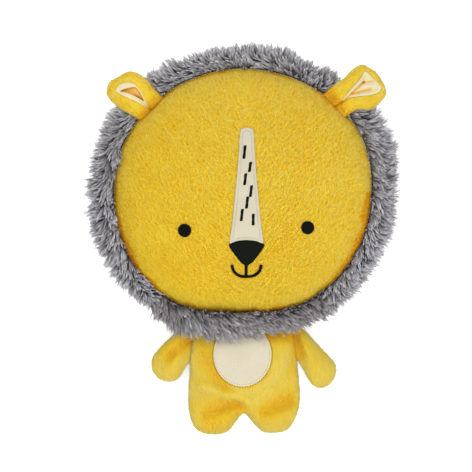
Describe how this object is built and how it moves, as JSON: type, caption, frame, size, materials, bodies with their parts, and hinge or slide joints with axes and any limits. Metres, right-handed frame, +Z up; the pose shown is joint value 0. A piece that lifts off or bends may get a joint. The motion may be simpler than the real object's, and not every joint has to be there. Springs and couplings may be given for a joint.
{
  "type": "plush lion",
  "caption": "Floppy plush lion lying on its back: a round cushion head with a long-pile mane, folded ears and a small limp body that folds at its seams.",
  "frame": {"origin": "middle of the toy's length and width as it lies on its back, on the surface it lies on", "axes": "+Z up out of the face, +Y from the feet towards the top of the head, +X to the right as seen from above"},
  "size_m": [0.247, 0.314, 0.0645],
  "materials": {
    "yellow_plush": "short-pile plush, soft sheen",
    "grey_fur": "long curly pile fur cloth",
    "cream_cloth": "smooth short-nap cloth",
    "black_cloth": "matte cloth with a satin stitched edge",
    "black_thread": "embroidery thread",
    "white_fibre": "loose polyester fibre"
  },
  "bodies": {
    "head": {"face_panel": "yellow_plush", "head_back_panel": "yellow_plush", "head_stuffing": "white_fibre", "mane": "grey_fur", "mane_chin": "grey_fur", "neck": "yellow_plush", "blaze": "cream_cloth", "dash_1": "black_thread", "dash_2": "black_thread", "dash_3": "black_thread", "dash_4": "black_thread", "dash_5": "black_thread", "dash_6": "black_thread", "dash_7": "black_thread", "nose": "black_cloth", "mouth": "black_thread", "eye_left": "black_cloth", "eye_right": "black_cloth"},
    "torso": {"torso_front_panel": "yellow_plush", "torso_back_panel": "yellow_plush", "torso_stuffing": "white_fibre", "belly_patch": "cream_cloth"},
    "arm_left": {"arm_left_front_panel": "yellow_plush", "arm_left_back_panel": "yellow_plush", "arm_left_stuffing": "white_fibre"},
    "arm_right": {"arm_right_front_panel": "yellow_plush", "arm_right_back_panel": "yellow_plush", "arm_right_stuffing": "white_fibre"},
    "leg_left": {"leg_left_front_panel": "yellow_plush", "leg_left_back_panel": "yellow_plush", "leg_left_stuffing": "white_fibre"},
    "leg_right": {"leg_right_front_panel": "yellow_plush", "leg_right_back_panel": "yellow_plush", "leg_right_stuffing": "white_fibre"},
    "ear_left": {"ear_left_outer": "yellow_plush", "ear_left_lining": "cream_cloth"},
    "ear_right": {"ear_right_outer": "yellow_plush", "ear_right_lining": "cream_cloth"}
  },
  "joints": [
    {"name": "neck_fold", "type": "hinge", "parent": "head", "child": "torso", "pos_m": [0, -0.06765, 0.01962], "axis": [-1, 0, 0], "range_deg": [0, 95], "deforming": ["mane_chin"]},
    {"name": "arm_left_fold", "type": "hinge", "parent": "torso", "child": "arm_left", "pos_m": [-0.0405, -0.08465, 0.01825], "axis": [0.1461, 0.9861, 0.0797], "range_deg": [0, 120]},
    {"name": "arm_right_fold", "type": "hinge", "parent": "torso", "child": "arm_right", "pos_m": [0.0405, -0.08465, 0.01825], "axis": [0.1461, -0.9861, -0.0797], "range_deg": [0, 120]},
    {"name": "leg_left_fold", "type": "hinge", "parent": "torso", "child": "leg_left", "pos_m": [-0.0217, -0.13165, 0.01445], "axis": [-1, 0, 0], "range_deg": [0, 110]},
    {"name": "leg_right_fold", "type": "hinge", "parent": "torso", "child": "leg_right", "pos_m": [0.0217, -0.13165, 0.01445], "axis": [-1, 0, 0], "range_deg": [0, 110]},
    {"name": "ear_left_flip", "type": "hinge", "parent": "head", "child": "ear_left", "pos_m": [-0.07147, 0.10238, 0.03865], "axis": [0.7071, 0.7071, 0], "range_deg": [0, 125]},
    {"name": "ear_right_flip", "type": "hinge", "parent": "head", "child": "ear_right", "pos_m": [0.07147, 0.10238, 0.03865], "axis": [0.6561, -0.7547, 0], "range_deg": [0, 125]}
  ]
}
